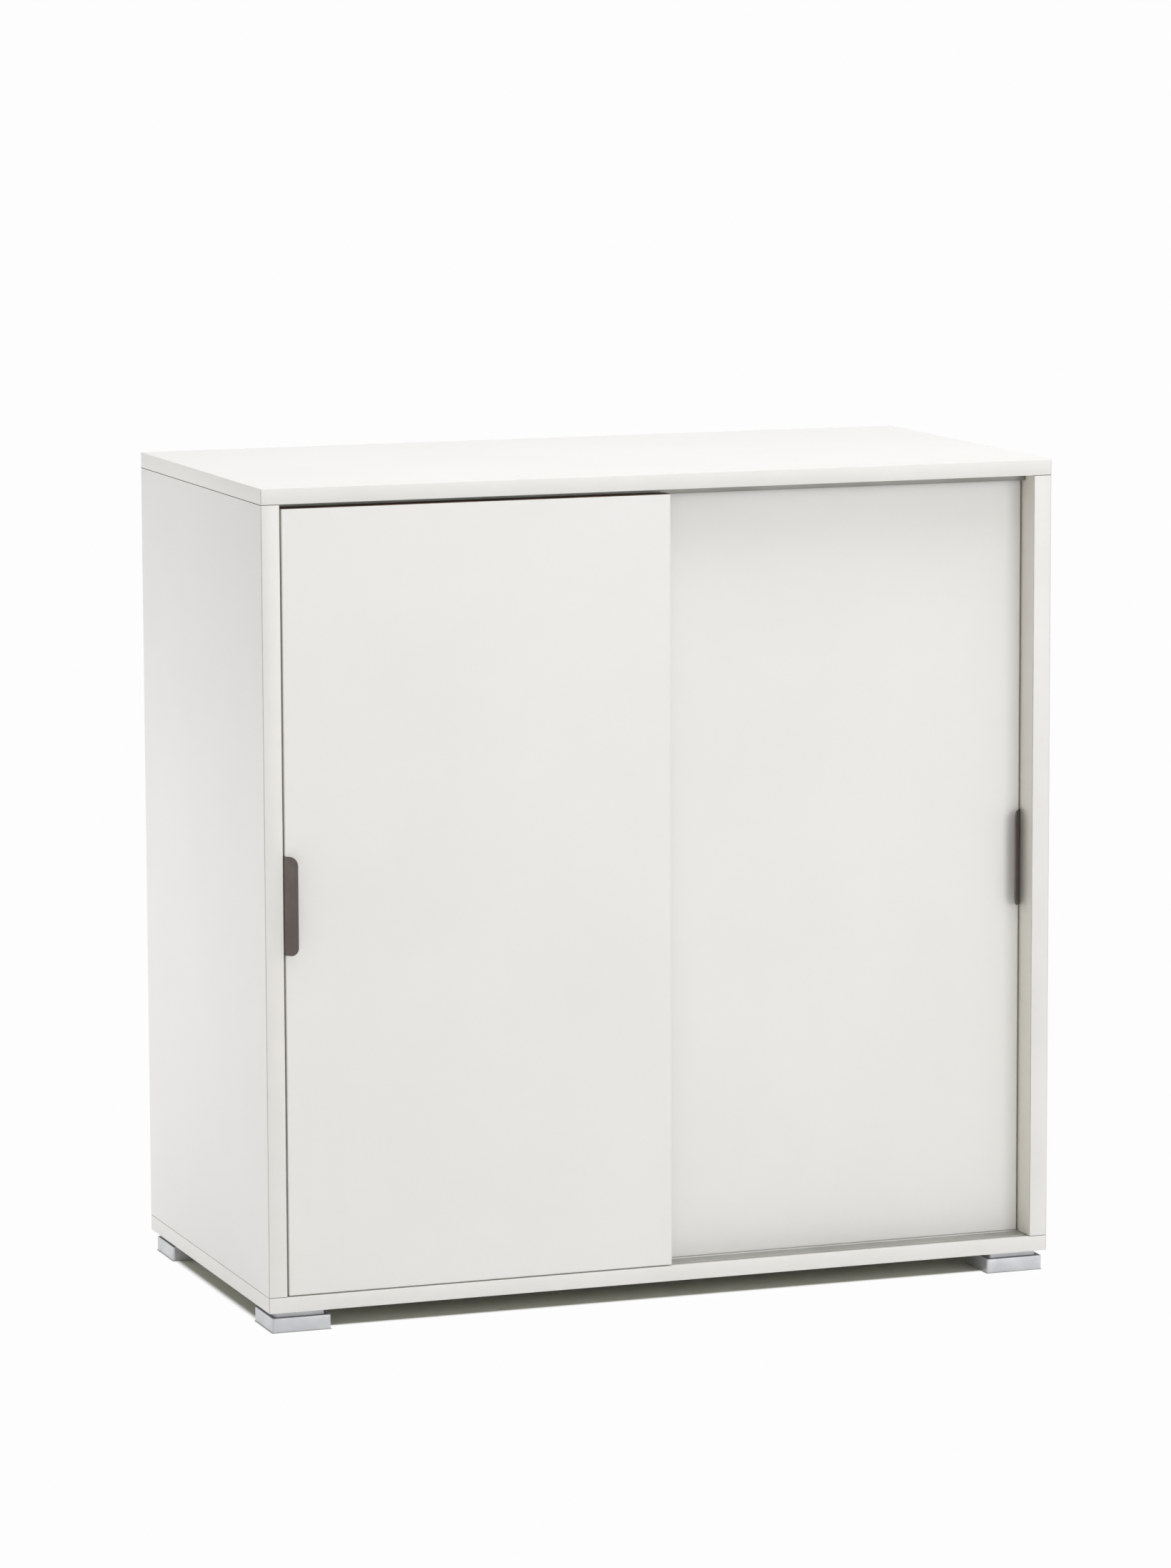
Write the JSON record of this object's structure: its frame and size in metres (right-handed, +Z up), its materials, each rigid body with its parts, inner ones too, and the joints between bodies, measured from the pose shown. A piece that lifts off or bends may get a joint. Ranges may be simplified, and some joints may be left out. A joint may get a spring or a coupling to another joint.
{
  "type": "sliding door cabinet",
  "caption": "Low white board cabinet with overlapping doors that roll on nylon wheels in a sunk aluminium track, bent metal handles on the door edges, inner shelves and block feet.",
  "frame": {"origin": "on the floor, under the middle of the whole object's box, handles included", "axes": "+Z up, +X to the right of somebody who faces the doors, +Y to the back"},
  "size_m": [0.8, 0.4186, 0.8015],
  "materials": {
    "white_board": "white melamine on chipboard, satin, with a faint orange-peel grain",
    "back_board": "white lacquered hardboard, matt",
    "white_plastic": "white moulded plastic, satin",
    "foot_plastic": "silver-grey moulded plastic, satin",
    "black_plastic": "black moulded plastic",
    "aluminium": "extruded, anodised, satin",
    "dark_metal": "bronze-grey coating, satin",
    "steel": "zinc-plated",
    "zinc": "die-cast zinc alloy, dull"
  },
  "bodies": {
    "carcass": {"top_panel": "white_board", "bottom_panel": "white_board", "left_side_panel": "white_board", "right_side_panel": "white_board", "centre_divider": "white_board", "left_shelf": "white_board", "right_shelf": "white_board", "left_back_panel": "back_board", "right_back_panel": "back_board", "back_joining_strip": "white_plastic", "left_shelf_pin_1": "steel", "left_shelf_pin_2": "steel", "left_shelf_pin_3": "steel", "left_shelf_pin_4": "steel", "right_shelf_pin_1": "steel", "right_shelf_pin_2": "steel", "right_shelf_pin_3": "steel", "right_shelf_pin_4": "steel", "left_cam_lock_bottom_front": "zinc", "left_cam_lock_bottom_rear": "zinc", "left_cam_lock_top_front": "zinc", "left_cam_lock_top_rear": "zinc", "right_cam_lock_bottom_front": "zinc", "right_cam_lock_bottom_rear": "zinc", "right_cam_lock_top_front": "zinc", "right_cam_lock_top_rear": "zinc", "top_track": "aluminium", "bottom_track": "aluminium", "top_track_screw_1": "steel", "top_track_screw_2": "steel", "top_track_screw_3": "steel", "top_track_screw_4": "steel", "front_left_foot": "foot_plastic", "front_right_foot": "foot_plastic", "rear_left_foot": "foot_plastic", "rear_right_foot": "foot_plastic"},
    "front_door": {"front_door": "white_board", "front_door_handle": "dark_metal", "front_door_handle_screw_1": "steel", "front_door_handle_screw_2": "steel", "front_door_left_roller_housing": "black_plastic", "front_door_left_axle": "steel", "front_door_left_guide": "black_plastic", "front_door_right_roller_housing": "black_plastic", "front_door_right_axle": "steel", "front_door_right_guide": "black_plastic"},
    "rear_door": {"rear_door": "white_board", "rear_door_handle": "dark_metal", "rear_door_handle_screw_1": "steel", "rear_door_handle_screw_2": "steel", "rear_door_left_roller_housing": "black_plastic", "rear_door_left_axle": "steel", "rear_door_left_guide": "black_plastic", "rear_door_right_roller_housing": "black_plastic", "rear_door_right_axle": "steel", "rear_door_right_guide": "black_plastic"},
    "front_door_left_wheel": {"front_door_left_wheel": "white_plastic"},
    "front_door_right_wheel": {"front_door_right_wheel": "white_plastic"},
    "rear_door_left_wheel": {"rear_door_left_wheel": "white_plastic"},
    "rear_door_right_wheel": {"rear_door_right_wheel": "white_plastic"}
  },
  "joints": [
    {"name": "front_door_slide", "type": "slide", "parent": "carcass", "child": "front_door", "axis": [1, 0, 0], "range_m": [0, 0.3745]},
    {"name": "rear_door_slide", "type": "slide", "parent": "carcass", "child": "rear_door", "axis": [1, 0, 0], "range_m": [-0.3745, 0]},
    {"name": "front_door_left_wheel_roll", "type": "hinge", "parent": "front_door", "child": "front_door_left_wheel", "pos_m": [-0.33025, -0.18921, 0.039], "axis": [0, 1, 0], "range_deg": [0, 2385]},
    {"name": "front_door_right_wheel_roll", "type": "hinge", "parent": "front_door", "child": "front_door_right_wheel", "pos_m": [-0.04425, -0.18921, 0.039], "axis": [0, 1, 0], "range_deg": [0, 2385]},
    {"name": "rear_door_left_wheel_roll", "type": "hinge", "parent": "rear_door", "child": "rear_door_left_wheel", "pos_m": [0.04425, -0.16021, 0.039], "axis": [0, 1, 0], "range_deg": [-2385, 0]},
    {"name": "rear_door_right_wheel_roll", "type": "hinge", "parent": "rear_door", "child": "rear_door_right_wheel", "pos_m": [0.33025, -0.16021, 0.039], "axis": [0, 1, 0], "range_deg": [-2385, 0]}
  ],
  "couplings": [
    {"joint": "front_door_left_wheel_roll", "follows": "front_door_slide", "rad_per_m": 111.11},
    {"joint": "front_door_right_wheel_roll", "follows": "front_door_slide", "rad_per_m": 111.11},
    {"joint": "rear_door_left_wheel_roll", "follows": "rear_door_slide", "rad_per_m": 111.11},
    {"joint": "rear_door_right_wheel_roll", "follows": "rear_door_slide", "rad_per_m": 111.11}
  ]
}
